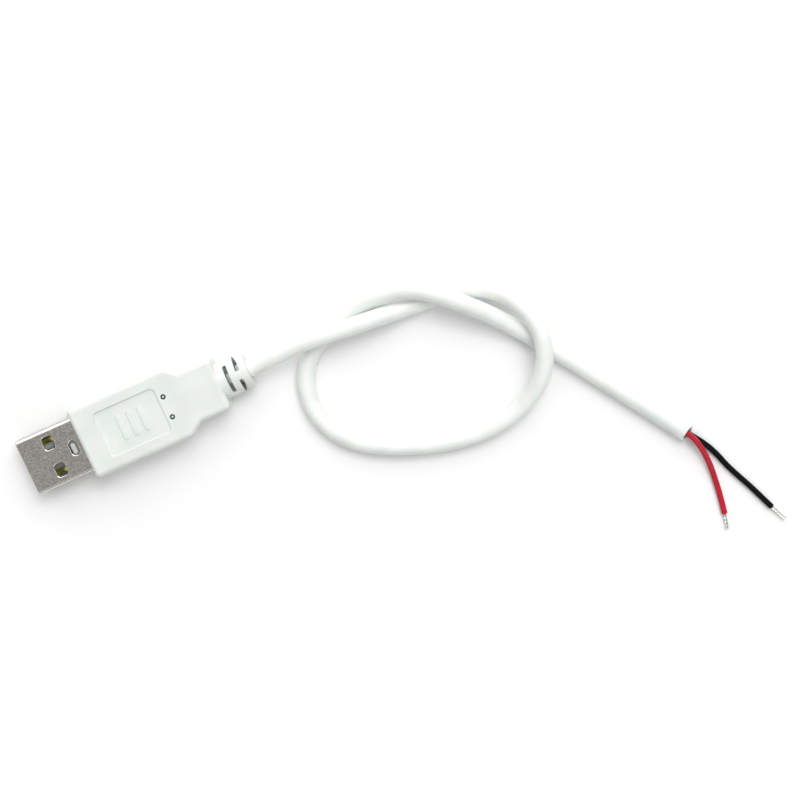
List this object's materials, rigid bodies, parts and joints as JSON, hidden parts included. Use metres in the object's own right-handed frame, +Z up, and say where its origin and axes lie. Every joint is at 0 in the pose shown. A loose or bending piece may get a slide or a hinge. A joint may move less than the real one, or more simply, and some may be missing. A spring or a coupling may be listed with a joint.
{
  "type": "usb power cable",
  "caption": "Short two-core power lead: a moulded type A plug on a round cable in a loose overhand knot, ending in stripped red and black tinned wires.",
  "frame": {"origin": "middle of the plug's length and width, on the surface that the plug lies on", "axes": "+X along the plug from its mating mouth to its cable, +Z up from the surface"},
  "size_m": [0.1401, 0.0831, 0.008],
  "materials": {
    "white_pvc": "satin moulded PVC",
    "inner_plastic": "natural moulded plastic",
    "plated_steel": "nickel plated, fine grain",
    "carrier_plastic": "moulded insulator",
    "plated_brass": "gold flash",
    "solder": "tin solder",
    "jacket_pvc": "soft extruded PVC",
    "red_insulation": "soft extruded PVC",
    "black_insulation": "soft extruded PVC",
    "tinned_copper": "tinned strands"
  },
  "bodies": {
    "root": {"plug_overmould": "white_pvc", "inner_mould": "inner_plastic", "plug_shell": "plated_steel", "contact_carrier": "carrier_plastic", "contact_vbus": "plated_brass", "contact_data_minus": "plated_brass", "contact_data_plus": "plated_brass", "contact_ground": "plated_brass", "vbus_solder_joint": "solder", "ground_solder_joint": "solder", "cable_jacket": "jacket_pvc", "red_wire": "red_insulation", "black_wire": "black_insulation", "red_conductor": "tinned_copper", "black_conductor": "tinned_copper"}
  },
  "joints": []
}
